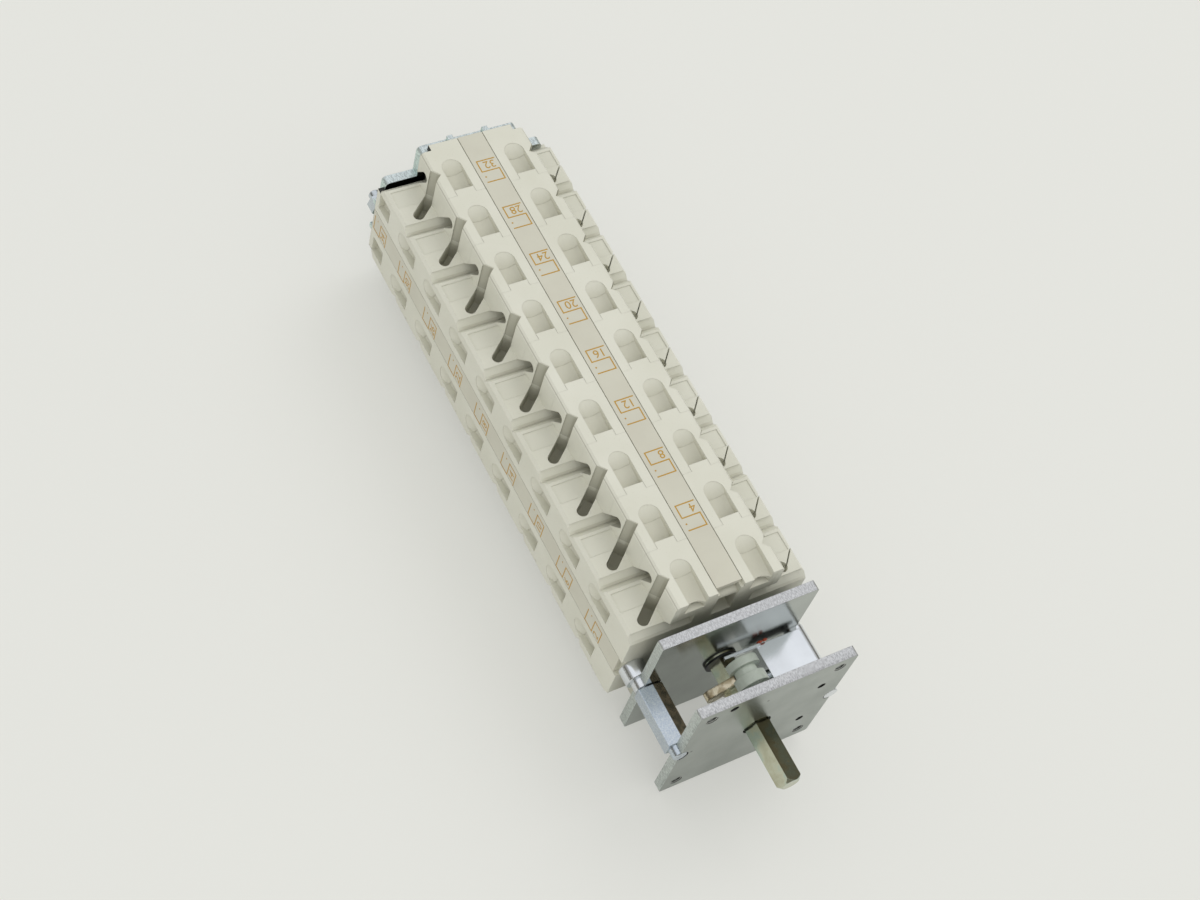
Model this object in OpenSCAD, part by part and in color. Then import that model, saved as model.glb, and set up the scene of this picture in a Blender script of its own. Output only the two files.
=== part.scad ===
// Rotary cam switch: contact stages stacked behind a front frame, turned by one square shaft.
// The origin is where the shaft's axis meets the front face of the front plate.
// +Y runs back along the stack, +X to the right and +Z up. The shaft's end points to -Y.

/* [Contact stages] */
// Number of contact stages in the stack
stages = 9; // [2:1:9]
// Length that each stage adds to the stack
stage_pitch = 24; // [23:0.5:28]
// Width of a stage across its faces
stage_w = 75.3; // [72:0.1:84]
// Distance from the shaft's axis to the corner notches
notch_at = 22.8; // [22:0.1:24]
// Bevel along the outer edges of a stage
stage_bevel = 1.2; // [0.4:0.1:2]
// Length of the tongues that reach into the next stage
tongue_l = 2.8; // [1.5:0.1:4]
// Gap around a tongue
tongue_gap = 0.1; // [0.05:0.05:0.3]
// Bore of the chamber in which the cams turn
chamber_d = 20.6; // [19.8:0.1:22]

/* [Wire pockets] */
// Width of a wire pocket
pocket_w = 8.3; // [7:0.1:9]
// Length of a wire pocket
pocket_l = 14.9; // [12:0.1:16]
// Distance of a pocket's middle from the middle of its face
pocket_at = 13.8; // [12:0.1:14.5]
// Depth of a pocket at its near edge
pocket_deep = 4.8; // [3:0.1:5]
// Depth of a pocket at the crease in its floor
pocket_mid = 3.6; // [2:0.1:4]
// Depth of a pocket at its round end
pocket_shallow = 0.3; // [0.1:0.1:2]
// Distance from a pocket's near edge to the crease in its floor
pocket_crease = 9.5; // [5:0.1:10]
// Radius of a pocket's hollow floor
pocket_floor_r = 7; // [5:0.1:12]

/* [Screwdriver slots] */
// Width of a screwdriver slot
slot_w = 4.4; // [3.5:0.1:5]
// Length of a screwdriver slot
slot_l = 13.6; // [11:0.1:14.5]
// Angle of a slot to the stage's near face
slot_angle = 40; // [35:1:50]
// Distance of a slot's flat end from the middle of its face
slot_at = 21; // [20:0.1:22]
// Distance of a slot's flat end from the stage's pocket line
slot_y = 10.7; // [9.5:0.1:11]
// Depth of a slot below the notch floor
slot_deep = 10.5; // [5:0.1:11]
// Width of the slit from a slot to the outer edge
slit_w = 0.5; // [0.3:0.05:0.8]
// Depth of the slit below the notch floor
slit_deep = 2.5; // [1:0.1:4]
// Angle of the slit to the stage's near face
slit_angle = 49; // [40:1:55]
// Length of the sunken panel on a notch floor
panel_l = 8; // [5:0.1:10]
// Depth of the sunken panel on a notch floor
panel_deep = 0.3; // [0.1:0.05:0.8]

/* [Label strips] */
// Width of a label strip
strip_w = 10.7; // [8:0.1:11]
// Thickness of a label strip
strip_t = 2; // [1:0.1:3]
// Gap on each side of a label strip
strip_gap = 0.3; // [0.1:0.05:0.5]
// Distance from the stack's near face to a strip's end
strip_back = 2.1; // [0:0.1:4]

/* [Plates] */
// Width and height of the front and rear plates
plate_w = 66.1; // [64:0.1:72]
// Thickness of the front and rear plates
plate_t = 4; // [2:0.1:5]
// Corner radius of the front and rear plates
plate_r = 1.2; // [0.5:0.1:6]
// Clear distance between the front and rear plates
plate_gap = 24.2; // [23:0.1:30]
// Distance from a tie rod's axis to the edge of its ear
ear_edge = 3.9; // [3.7:0.1:7]
// Height of an ear
ear_h = 18; // [14:0.5:24]
// Radius of an ear's corners, and of the hollows beside it
ear_r = 2; // [0.5:0.1:3]
// Distance from the rear plate to the first stage
stack_gap = 6.5; // [5:0.1:10]

/* [Panel holes] */
// Spacing of the four panel screws
panel_spacing = 54; // [50:0.5:56]
// Diameter of a panel screw's hole
panel_hole_d = 4.8; // [3:0.1:5.5]
// Diameter of the two riveting holes of the detent housing
rivet_hole_d = 3.3; // [2:0.1:4]
// Diameter of the locating hole near the top edge
locating_hole_d = 3.4; // [2:0.1:4]

/* [Shaft] */
// Width of the square shaft across its flats
shaft_w = 7; // [6:0.1:7.4]
// Distance that the shaft sticks out in front of the front plate
shaft_out = 25; // [10:0.5:60]
// Angle of the shaft's upper flat to the right of straight up
shaft_turn = 19.5; // [0:0.5:30]
// Length of the cone on the shaft's tip
tip_l = 1.5; // [0.5:0.1:3]
// Diameter of the shaft's rear journal
journal_d = 6.6; // [5:0.1:6.8]
// Gap between a square hole and the shaft
shaft_gap = 0.05; // [0.02:0.01:0.1]
// Gap on the radius of a running fit
running_gap = 0.05; // [0.02:0.01:0.1]

/* [Cams] */
// Diameter of a cam
cam_d = 19; // [16:0.1:19.4]
// Depth of the step cut into a cam
cam_step = 2.4; // [1:0.1:3]
// Gap between two cams along the shaft
cam_gap = 1; // [0.4:0.1:3]

/* [Rods and spacers] */
// Distance from a tie rod's axis to the face of a stage
rod_edge = 5.15; // [4.6:0.05:6.5]
// Diameter of a tie rod
rod_d = 5; // [4:0.1:5.2]
// Length of a tie rod beyond its nut
rod_out = 4; // [1:0.1:6]
// Width of a nut across its flats
nut_w = 8; // [7:0.1:9]
// Thickness of a nut
nut_t = 5; // [3:0.1:6]
// Diameter of the round spacers behind the rear plate
spacer_d = 10.4; // [9:0.1:10.6]
// Diameter of the collar on a spacer
collar_d = 7; // [6:0.1:8]
// Length of the collar on a spacer
collar_l = 2.6; // [1:0.1:4]
// Width of a side bar
bar_w = 9.3; // [8:0.1:10]
// Thickness of a side bar
bar_h = 7; // [6:0.1:9]
// Width of the step along the inner side of a side bar
step_w = 3; // [1:0.1:4]
// Depth of the step along the inner side of a side bar
step_h = 3.4; // [1:0.1:5]
// Diameter of the tenon on a side bar
tenon_d = 5.8; // [5:0.1:6.4]
// Length of tenon that shows between the bar and the front plate
tenon_l = 3; // [1:0.1:5]
// Diameter of the round post on the right
post_d = 7.6; // [7:0.1:8]
// Depth of the threaded hole that a tie rod is screwed into
thread_l = 8; // [5:0.5:15]

/* [End plate] */
// Thickness of the end plate
end_t = 2.5; // [1.5:0.1:4]
// Distance that the end plate stays inside the faces of the stages
end_inset = 2.4; // [1:0.1:4]
// Width of an arm of the end plate
end_arm_w = 43.4; // [40:0.1:46]
// Corner radius of the end plate
end_r = 2; // [1:0.1:3]

/* [Detent] */
// Width of the detent housing
box_w = 19.4; // [16:0.1:20]
// Distance of the detent housing from the shaft's axis
box_at = 12.8; // [12.5:0.1:14]
// Height of the detent housing
box_h = 11; // [10:0.1:16]
// Distance from the detent housing to the rear plate
box_back = 2; // [1.6:0.1:6]
// Thickness of the detent housing's sheet
sheet_t = 1.2; // [0.8:0.1:1.6]
// Diameter of the detent plunger
plunger_d = 5; // [4:0.1:6]
// Thickness of the spring's wire
spring_wire = 0.8; // [0.6:0.1:1]

/* [Rotor block] */
// Radius of the rotor block's round lobe
lobe_r = 6.4; // [5:0.1:6.6]
// Distance of the lobe's middle from the shaft's axis
lobe_at = 8.4; // [7:0.1:8.6]
// Thickness of the stop arm
arm_t = 3.2; // [1.5:0.1:4]
// Reach of the stop arm from the shaft's axis
arm_reach = 11.9; // [10:0.1:16]
// Diameter of the rotor block's spigot in the front plate
spigot_d = 11.5; // [10.5:0.1:13]

/* [Hidden] */
$fn = 48;
// Small overlap where one cut runs past a face
e = 0.5;
half_w = stage_w / 2;
// Distance of the tie rods from the shaft's axis, to the left and right
rod_at = half_w - rod_edge;
// Places along the shaft's axis
rear_y = plate_t + plate_gap;
stack_y = rear_y + plate_t + stack_gap;
line_y = stack_y + tongue_l;
end_y = line_y + stages * stage_pitch;
nut_y = end_y + end_t;
rod_end = nut_y + nut_t + rod_out;
rod_bore_d = rod_d + 0.4;
locating_x = -18.4;
locating_z = 29.3;
// Places of the rotor's parts along the shaft's axis
spigot_y = 1;
spigot_l = 10;
near_disc_t = 4.3;
far_disc_t = 3.3;
disc_y = spigot_y + spigot_l;
arm_y = disc_y + near_disc_t;
disc_back = arm_y + arm_t + far_disc_t;
block_r = spigot_d / 2 + 0.35;
waist_r = lobe_r - 2;
// Bush in the rear plate, proud of both faces, with the ring in front of it
bush_d = 12.4;
bush_proud = 0.4;
bush_y = rear_y - bush_proud;
ring_d = 13.4;
ring_t = 0.8;
// Detent
box_y = plate_t;
box_l = plate_gap - box_back;
plunger_y = box_y + box_l / 2;
// The rivets sit a little to the right of the housing's middle
rivet_shift = 0.9;
rivet_x = box_at + box_w / 2 + rivet_shift;
rivet_z = 14.3;
flange_x = box_at + sheet_t + running_gap;
flange_t = 2;
// The spring's turns lap a little, and lie a little outside the plunger
turn_lap = 0.1;
turn_gap = 0.2;
// The end lands reach a little past the outer edges of the pockets
land_edge = 0.3;
land_w = 2 * (pocket_at + pocket_w / 2 + land_edge);
// Place of a slot's round end, from the middle of its face and the pocket line
slot_run = slot_l - slot_w / 2;
slot_end_x = slot_at + slot_run * cos(slot_angle);
slot_end_y = slot_y - slot_run * sin(slot_angle);
// The slit leaves the round end a little inside its outer side
slit_in = 0.4;
// Tilts of the two halves of a pocket's floor, and the step at its crease
near_tilt = atan((pocket_deep - pocket_mid) / pocket_crease);
far_tilt = atan((pocket_mid - pocket_shallow) / (pocket_l - pocket_crease));
crease_step = 0.1;
tongue_w = pocket_w - 2 * tongue_gap;
// The sunken panels lie between the pocket lines of neighbouring faces, inside the bevels
panel_end = 17;
panel_edge = 0.6;
// Hollows in the near face of the first stage: one below the strip's end, with a round nose
// across it, and one below each pocket
hollow_w = 8.8;
hollow_h = 15.6;
hollow_deep = 6;
nose_r = 2.1;
nose_z = 7;
nose_back = 0.8;
mouth_r = 5;
mouth_out = 2.7;
mouth_deep = 6.9;
gap_w = 7.6;
gap_h = 1.4;

// Zinc-plated steel, passivated steel, nylon and the housing's moulding
zinc = [0.72, 0.75, 0.76];
passivated = [0.62, 0.62, 0.5];
moulding = [0.86, 0.85, 0.79];
strip_grey = [0.8, 0.79, 0.74];

// Extrudes a shape drawn in X and Z between two places along the shaft's axis
module slab(from_y, to_y) {
    translate([0, to_y, 0])
        rotate([90, 0, 0])
            linear_extrude(to_y - from_y)
                children();
}

// A round bar or bore along Y
module round_y(d, from_y, to_y, x = 0, z = 0) {
    translate([x, to_y, z])
        rotate([90, 0, 0])
            cylinder(d = d, h = to_y - from_y);
}

// Copies to the left and right
module both_sides() {
    children();
    mirror([1, 0, 0]) children();
}

// Turns a shape to the shaft's angle
module on_shaft() {
    rotate([0, shaft_turn, 0]) children();
}

module rounded_square(w, h, r) {
    hull()
        for (sx = [-1, 1], sz = [-1, 1])
            translate([sx * (w / 2 - r), sz * (h / 2 - r)])
                circle(r = r, $fn = 32);
}

// Frame plates

module plate_outline() {
    offset(r = -ear_r, $fn = 32)
        offset(delta = ear_r)
            union() {
                rounded_square(plate_w, plate_w, plate_r);
                rounded_square(2 * (rod_at + ear_edge), ear_h, ear_r);
            }
}

module front_plate() {
    color(zinc)
        difference() {
            slab(0, plate_t) plate_outline();
            for (sx = [-1, 1], sz = [-1, 1])
                round_y(panel_hole_d, -e, plate_t + e, sx * panel_spacing / 2, sz * panel_spacing / 2);
            round_y(spigot_d + 2 * running_gap, -e, plate_t + e);
            for (sx = [-1, 1])
                round_y(tenon_d, -e, plate_t + e, sx * rod_at);
            for (sz = [-1, 1])
                round_y(rivet_hole_d, -e, plate_t + e, rivet_x, sz * rivet_z);
            round_y(locating_hole_d, -e, plate_t + e, locating_x, locating_z);
        }
}

module rear_plate() {
    color(zinc)
        difference() {
            slab(rear_y, rear_y + plate_t) plate_outline();
            round_y(bush_d + 2 * running_gap, rear_y - e, rear_y + plate_t + e);
            for (sx = [-1, 1])
                round_y(rod_d, rear_y - e, rear_y + plate_t + e, sx * rod_at);
        }
}

// Plus-shaped end plate with two tabs beside each label strip

module plus_outline(half, arm_w) {
    square([2 * half, arm_w], center = true);
    square([arm_w, 2 * half], center = true);
}

module end_outline() {
    half = half_w - end_inset;
    offset(r = end_r, $fn = 24)
        offset(delta = -end_r)
            plus_outline(half, end_arm_w);
    tab_w = 2.4;
    tab_gap = 0.9;
    tab_at = strip_w / 2 + strip_gap + tab_gap;
    for (turn = [0, 90, 180, 270])
        rotate(turn)
            for (side = [-1, 1])
                translate([side * (tab_at + tab_w / 2) - tab_w / 2, half - e])
                    square([tab_w, e + end_inset - 0.3]);
}

module end_plate() {
    color(zinc)
        difference() {
            slab(end_y, end_y + end_t) end_outline();
            round_y(journal_d + 2 * running_gap, end_y - e, end_y + end_t + e);
            for (sx = [-1, 1])
                round_y(rod_d, end_y - e, end_y + end_t + e, sx * rod_at);
        }
}

// Square bar on the left and round post on the right, each with a tenon that is riveted
// into an ear of the front plate and a threaded hole for its tie rod

module side_bar() {
    bar_y = plate_t + tenon_l;
    color(zinc) {
        difference() {
            translate([-rod_at - bar_w / 2, bar_y, -bar_h / 2])
                cube([bar_w, rear_y - bar_y, bar_h]);
            translate([-rod_at + bar_w / 2 - step_w, bar_y - e, bar_h / 2 - step_h])
                cube([step_w + e, rear_y - bar_y + 2 * e, step_h + e]);
            round_y(rod_d, rear_y - thread_l, rear_y + e, -rod_at);
        }
        round_y(tenon_d, 0, bar_y, -rod_at);
    }
}

module side_post() {
    color(zinc)
        difference() {
            union() {
                round_y(tenon_d, 0, plate_t, rod_at);
                round_y(post_d, plate_t, rear_y, rod_at);
            }
            round_y(rod_d, rear_y - thread_l, rear_y + e, rod_at);
        }
}

module spacer(side) {
    color(zinc)
        difference() {
            union() {
                round_y(collar_d, rear_y + plate_t, rear_y + plate_t + collar_l, side * rod_at);
                round_y(spacer_d, rear_y + plate_t + collar_l, stack_y, side * rod_at);
            }
            round_y(rod_d, rear_y + plate_t - e, stack_y + e, side * rod_at);
        }
}

module spacer_left() { spacer(-1); }
module spacer_right() { spacer(1); }

module tie_rod(side) {
    chamfer = 0.7;
    color(zinc) {
        round_y(rod_d, rear_y - thread_l, rod_end - chamfer, side * rod_at);
        translate([side * rod_at, rod_end - chamfer, 0])
            rotate([-90, 0, 0])
                cylinder(d1 = rod_d, d2 = rod_d - 2 * chamfer, h = chamfer);
    }
}

module tie_rod_left() { tie_rod(-1); }
module tie_rod_right() { tie_rod(1); }

module tie_nuts() {
    color(zinc)
        for (side = [-1, 1])
            difference() {
                slab(nut_y, nut_y + nut_t)
                    translate([side * rod_at, 0])
                        rotate(12)
                            circle(d = nut_w / cos(30), $fn = 6);
                round_y(rod_d, nut_y - e, nut_y + nut_t + e, side * rod_at);
            }
}

// Contact stages

// What is above a round floor from from_y to to_y, which passes the crease at a depth and a tilt
module pocket_floor(from_y, to_y, deep, tilt, gap = 0) {
    intersection() {
        translate([-pocket_w, from_y, 0])
            cube([2 * pocket_w, to_y - from_y, half_w + e]);
        translate([0, pocket_crease, half_w - deep + pocket_floor_r / cos(tilt)])
            rotate([90 + tilt, 0, 0])
                cylinder(r = pocket_floor_r - gap, h = 4 * pocket_l, center = true);
    }
}

// A wire pocket in the top face, from near_y to the round end, with a creased hollow floor.
// The floor's far half starts with a small step.
module pocket(near_y) {
    straight = pocket_l - pocket_w / 2;
    translate([pocket_at, 0, 0])
        intersection() {
            union() {
                pocket_floor(near_y - e, pocket_crease, pocket_mid, near_tilt);
                pocket_floor(pocket_crease, pocket_l + e, pocket_mid - crease_step, far_tilt);
            }
            union() {
                translate([-pocket_w / 2, near_y, 0])
                    cube([pocket_w, straight - near_y, half_w + 2 * e]);
                translate([0, straight, 0])
                    cylinder(d = pocket_w, h = half_w + 2 * e);
            }
        }
}

// A screwdriver slot through a notch floor
module slot() {
    bottom = notch_at - slot_deep;
    translate([slot_at, slot_y, bottom])
        rotate(-slot_angle) {
            translate([0, -slot_w / 2, 0])
                cube([slot_run, slot_w, half_w + e - bottom]);
            translate([slot_run, 0, 0])
                cylinder(d = slot_w, h = half_w + e - bottom);
        }
}

// The slit from the outer side of a slot's round end to the stage's outer edge
module slit() {
    translate([slot_end_x, slot_end_y, notch_at - slit_deep])
        rotate(slit_angle)
            translate([0, slit_in - slot_w / 2, 0])
                cube([half_w, slit_w, slit_deep + e]);
}

// A shallow sunken panel on a notch floor
module sunken_panel() {
    translate([notch_at, panel_end - panel_l, notch_at - panel_deep])
        cube([half_w - stage_bevel - panel_edge - notch_at, panel_l, panel_deep + e]);
}

module strip_groove(from_y, to_y) {
    half = strip_w / 2 + strip_gap;
    translate([-half, from_y, half_w - strip_t])
        cube([2 * half, to_y - from_y, strip_t + e]);
}

// Cuts of the top and bottom faces, whose pockets open at the stage's near face
module top_cuts() {
    for (turn = [0, 180])
        rotate([0, turn, 0]) {
            both_sides() {
                pocket(-tongue_l - e);
                slot();
                sunken_panel();
            }
            slit();
        }
}

// Cuts of the left and right faces, half a pitch further back
module side_cuts(with_pocket) {
    for (turn = [90, 270])
        rotate([0, turn, 0])
            both_sides() {
                if (with_pocket)
                    pocket(0);
                slot();
            }
}

// Hollows in the near face of the first stage, which no stage covers
module near_cuts() {
    near = -tongue_l;
    top = half_w - strip_t;
    gap_z = half_w - mouth_deep;
    for (turn = [0, 180])
        rotate([0, turn, 0]) {
            difference() {
                translate([-hollow_w / 2, near - e, top - hollow_h])
                    cube([hollow_w, hollow_deep + e, hollow_h + e]);
                translate([0, near + nose_back + nose_r, half_w - nose_z])
                    rotate([0, 90, 0])
                        cylinder(r = nose_r, h = hollow_w + 2 * e, center = true);
                translate([-hollow_w / 2 - e, near + nose_back + nose_r, half_w - nose_z - nose_r])
                    cube([hollow_w + 2 * e, hollow_deep, 2 * nose_r]);
            }
            both_sides()
                translate([pocket_at, near, 0]) {
                    translate([0, -mouth_out, gap_z])
                        cylinder(r = mouth_r, h = mouth_deep + e);
                    translate([-gap_w / 2, -e, gap_z])
                        cube([gap_w, hollow_deep + e, gap_h]);
                }
        }
}

// Stage number k, counted from the front
module stage(k) {
    near = -tongue_l;
    far = stage_pitch - tongue_l;
    color(moulding)
        translate([0, line_y + (k - 1) * stage_pitch, 0]) {
            difference() {
                slab(near, far)
                    stage_outline();
                round_y(chamber_d, near - e, far + e);
                for (sx = [-1, 1])
                    round_y(rod_bore_d, near - e, far + e, sx * rod_at);
                for (turn = [0, 90, 180, 270])
                    rotate([0, turn, 0])
                        strip_groove(near - e, far + e);
                top_cuts();
                translate([0, stage_pitch / 2, 0])
                    side_cuts(true);
                translate([0, -stage_pitch / 2, 0])
                    side_cuts(k > 1);
                if (k == 1)
                    near_cuts();
            }
            if (k < stages)
                tongues();
            else
                end_land();
        }
}

module stage_outline() {
    b = stage_bevel;
    for (turn = [0, 90])
        rotate(turn)
            polygon([
                [-half_w, -notch_at + b], [-half_w + b, -notch_at],
                [half_w - b, -notch_at], [half_w, -notch_at + b],
                [half_w, notch_at - b], [half_w - b, notch_at],
                [-half_w + b, notch_at], [-half_w, notch_at - b]]);
}

// Tongues that fill the near ends of the next stage's top and bottom pockets
module tongues() {
    for (turn = [0, 180])
        rotate([0, turn, 0])
            both_sides()
                translate([pocket_at, stage_pitch, 0])
                    intersection() {
                        translate([-tongue_w / 2, -tongue_l, 0])
                            cube([tongue_w, tongue_l, half_w]);
                        pocket_floor(-2 * tongue_l, pocket_crease, pocket_mid, near_tilt, tongue_gap);
                    }
}

// Lands of the last stage, which reach the end plate
module end_land() {
    difference() {
        slab(stage_pitch - tongue_l, stage_pitch)
            plus_outline(half_w, land_w);
        round_y(chamber_d, 0, stage_pitch + e);
        for (sx = [-1, 1])
            round_y(rod_bore_d, 0, stage_pitch + e, sx * rod_at);
        for (turn = [0, 90, 180, 270])
            rotate([0, turn, 0])
                strip_groove(0, stage_pitch + e);
    }
}

// One cam on the shaft, with two steps that are turned on from stage to stage
module cam(k) {
    near = line_y + (k - 1) * stage_pitch - tongue_l + cam_gap / 2;
    far = near + stage_pitch - cam_gap;
    mid = (near + far) / 2;
    color("dimgray")
        on_shaft()
            difference() {
                round_y(cam_d, near, far);
                slab(near - e, far + e)
                    square(shaft_w + 2 * shaft_gap, center = true);
                rotate([0, 30 * k, 0])
                    slab(near - e, mid)
                        translate([-cam_d / 2, cam_d / 2 - cam_step])
                            square([cam_d, cam_d]);
                rotate([0, 30 * k + 90, 0])
                    slab(mid, far + e)
                        translate([-cam_d / 2, cam_d / 2 - cam_step])
                            square([cam_d, cam_d]);
            }
}

// Label strip in the groove of one face: 0 is the top, 90 the right
module label_strip(turn) {
    color(strip_grey)
        rotate([0, turn, 0])
            translate([-strip_w / 2, stack_y + strip_back, half_w - strip_t])
                cube([strip_w, end_y - stack_y - strip_back, strip_t]);
}

module label_strip_top() { label_strip(0); }
module label_strip_right() { label_strip(90); }
module label_strip_bottom() { label_strip(180); }
module label_strip_left() { label_strip(270); }

// Terminal screws at the bottoms of the slots, all as separate solids
module terminal_screw() {
    head_d = slot_w - 0.4;
    head_h = 1.8;
    cut_w = 0.8;
    translate([slot_end_x, slot_end_y, notch_at - slot_deep])
        difference() {
            cylinder(d = head_d, h = head_h);
            rotate(30)
                translate([-head_d, -cut_w / 2, head_h / 2])
                    cube([2 * head_d, cut_w, head_h]);
        }
}

module terminal_screws() {
    color(zinc)
        for (k = [1:stages], turn = [0, 90, 180, 270])
            translate([0, line_y + (k - 1) * stage_pitch + (turn % 180 == 0 ? 0 : stage_pitch / 2), 0])
                rotate([0, turn, 0])
                    both_sides()
                        terminal_screw();
}

// Rotor: the shaft and what turns with it

module shaft() {
    far = end_y + end_t;
    square_end = end_y - 1;
    tip_d = shaft_w * sqrt(2);
    color(passivated)
        on_shaft() {
            intersection() {
                slab(-shaft_out, square_end)
                    square(shaft_w, center = true);
                translate([0, -shaft_out, 0])
                    rotate([-90, 0, 0])
                        union() {
                            cylinder(d1 = tip_d - 2 * tip_l, d2 = tip_d + e, h = tip_l + e / 2);
                            translate([0, 0, tip_l])
                                cylinder(d = tip_d + e, h = square_end + shaft_out);
                        }
            }
            round_y(journal_d, square_end - e, far);
        }
}

// Outline of the rotor block's discs: a round lobe that leaves one flat of the shaft bare
module disc_outline() {
    intersection() {
        union() {
            translate([0, lobe_at]) circle(r = lobe_r);
            translate([-block_r, 0])
                square([2 * block_r, lobe_at]);
            circle(r = block_r);
        }
        rotate(45)
            translate([0, -lobe_at * 2])
                square(lobe_at * 4);
    }
}

module rotor_block() {
    color([0.7, 0.74, 0.7])
        on_shaft()
            difference() {
                union() {
                    round_y(spigot_d, spigot_y, disc_y);
                    slab(disc_y, arm_y) disc_outline();
                    round_y(2 * waist_r, arm_y, arm_y + arm_t, 0, lobe_at);
                    slab(arm_y + arm_t, disc_back) disc_outline();
                }
                slab(0, disc_back + e)
                    square(shaft_w + 2 * shaft_gap, center = true);
            }
}

module stop_arm() {
    arm_h = 6;
    arm_past = 1.5;
    color([0.78, 0.72, 0.56])
        on_shaft()
            slab(arm_y, arm_y + arm_t)
                difference() {
                    union() {
                        rotate(45)
                            translate([arm_h / 2 - arm_reach, 0]) {
                                square([arm_reach - arm_h / 2 + arm_past, arm_h]);
                                translate([0, arm_h / 2])
                                    circle(d = arm_h);
                            }
                        circle(d = spigot_d);
                    }
                    translate([0, lobe_at]) circle(r = waist_r + 0.2);
                    square(shaft_w + 2 * shaft_gap, center = true);
                }
}

module bearing_bush() {
    color("dimgray")
        on_shaft()
            difference() {
                round_y(bush_d, bush_y, rear_y + plate_t + bush_proud);
                slab(bush_y - e, rear_y + plate_t + bush_proud + e)
                    square(shaft_w + 2 * shaft_gap, center = true);
            }
}

module retaining_ring() {
    color([0.1, 0.1, 0.1])
        on_shaft()
            difference() {
                round_y(ring_d, bush_y - ring_t, bush_y);
                slab(bush_y - ring_t - e, bush_y + e)
                    square(shaft_w + 2 * shaft_gap, center = true);
            }
}

// Detent: a folded housing with a spring plunger that faces the rotor block

module detent_housing() {
    strap_z = 5.6;
    strap_h = 1.4;
    strap_end = -1.5;
    foot_w = 10;
    foot_edge = 3.5;
    color(zinc) {
        difference() {
            translate([box_at, box_y, -box_h / 2])
                cube([box_w, box_l, box_h]);
            translate([box_at + sheet_t, box_y - e, -box_h / 2 + sheet_t])
                cube([box_w, box_l + 2 * e, box_h - 2 * sheet_t]);
            translate([box_at - e, plunger_y, 0])
                rotate([0, 90, 0])
                    cylinder(d = plunger_d + 2 * running_gap, h = sheet_t + 2 * e);
        }
        difference() {
            translate([rivet_x - foot_w / 2, box_y, -rivet_z - foot_edge])
                cube([foot_w, sheet_t, 2 * (rivet_z + foot_edge)]);
            translate([box_at + sheet_t, box_y - e, -box_h / 2 + sheet_t])
                cube([box_w, sheet_t + 2 * e, box_h - 2 * sheet_t]);
            for (sz = [-1, 1])
                round_y(rivet_hole_d, box_y - e, box_y + sheet_t + e, rivet_x, sz * rivet_z);
        }
        translate([strap_end, box_y + box_l - sheet_t, strap_z])
            cube([box_at + sheet_t - strap_end, sheet_t, strap_h]);
        translate([box_at, box_y + box_l - sheet_t, box_h / 2 - sheet_t])
            cube([sheet_t, sheet_t, strap_z + strap_h / 2 - box_h / 2 + sheet_t]);
    }
}

// Plunger along X, whose round nose rests on the side of the rotor block
module detent_plunger() {
    nose_x = (block_r + plunger_d / 2) / cos(shaft_turn) - plunger_d / 2 + running_gap;
    translate([nose_x, plunger_y, 0])
        rotate([0, 90, 0])
            color([0.75, 0.75, 0.75]) {
                translate([0, 0, plunger_d / 2]) {
                    sphere(d = plunger_d);
                    cylinder(d = plunger_d, h = flange_x - nose_x + flange_t / 2 - plunger_d / 2);
                }
                translate([0, 0, flange_x - nose_x])
                    cylinder(d = plunger_d + 2, h = flange_t);
            }
}

// Closed turns between the plunger's flange and the round post
module detent_spring() {
    start = flange_x + flange_t + running_gap;
    room = rod_at - post_d / 2 - running_gap - start;
    turns = floor(room / spring_wire);
    turn_d = spring_wire + turn_lap;
    color("silver")
        translate([start, plunger_y, 0])
            rotate([0, 90, 0])
                for (i = [0:turns - 1])
                    translate([0, 0, turn_d / 2 + i * (room - turn_d) / (turns - 1)])
                        rotate_extrude()
                            translate([plunger_d / 2 + turn_gap, 0])
                                circle(d = turn_d, $fn = 16);
}

front_plate();
rear_plate();
end_plate();
side_bar();
side_post();
spacer_left();
spacer_right();
tie_rod_left();
tie_rod_right();
tie_nuts();
shaft();
rotor_block();
stop_arm();
bearing_bush();
retaining_ring();
detent_housing();
detent_plunger();
detent_spring();
label_strip_top();
label_strip_bottom();
label_strip_left();
label_strip_right();
terminal_screws();
for (k = [1:stages]) {
    stage(k);
    cam(k);
}
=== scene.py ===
# %% [markdown]
# # A rotary cam switch, dressed for its portrait
# The switch is a long stack of pale moulded stages behind two zinc-plated plates.
# Its shapes come from a CAD model, so this lesson is about finishes: what each
# surface is on the real object, and how nodes can say it. Only the print on the
# label strips, the three plates and a few small fittings are modelled here.

import math

import bmesh
import bpy
from mathutils import Matrix, Vector


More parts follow.
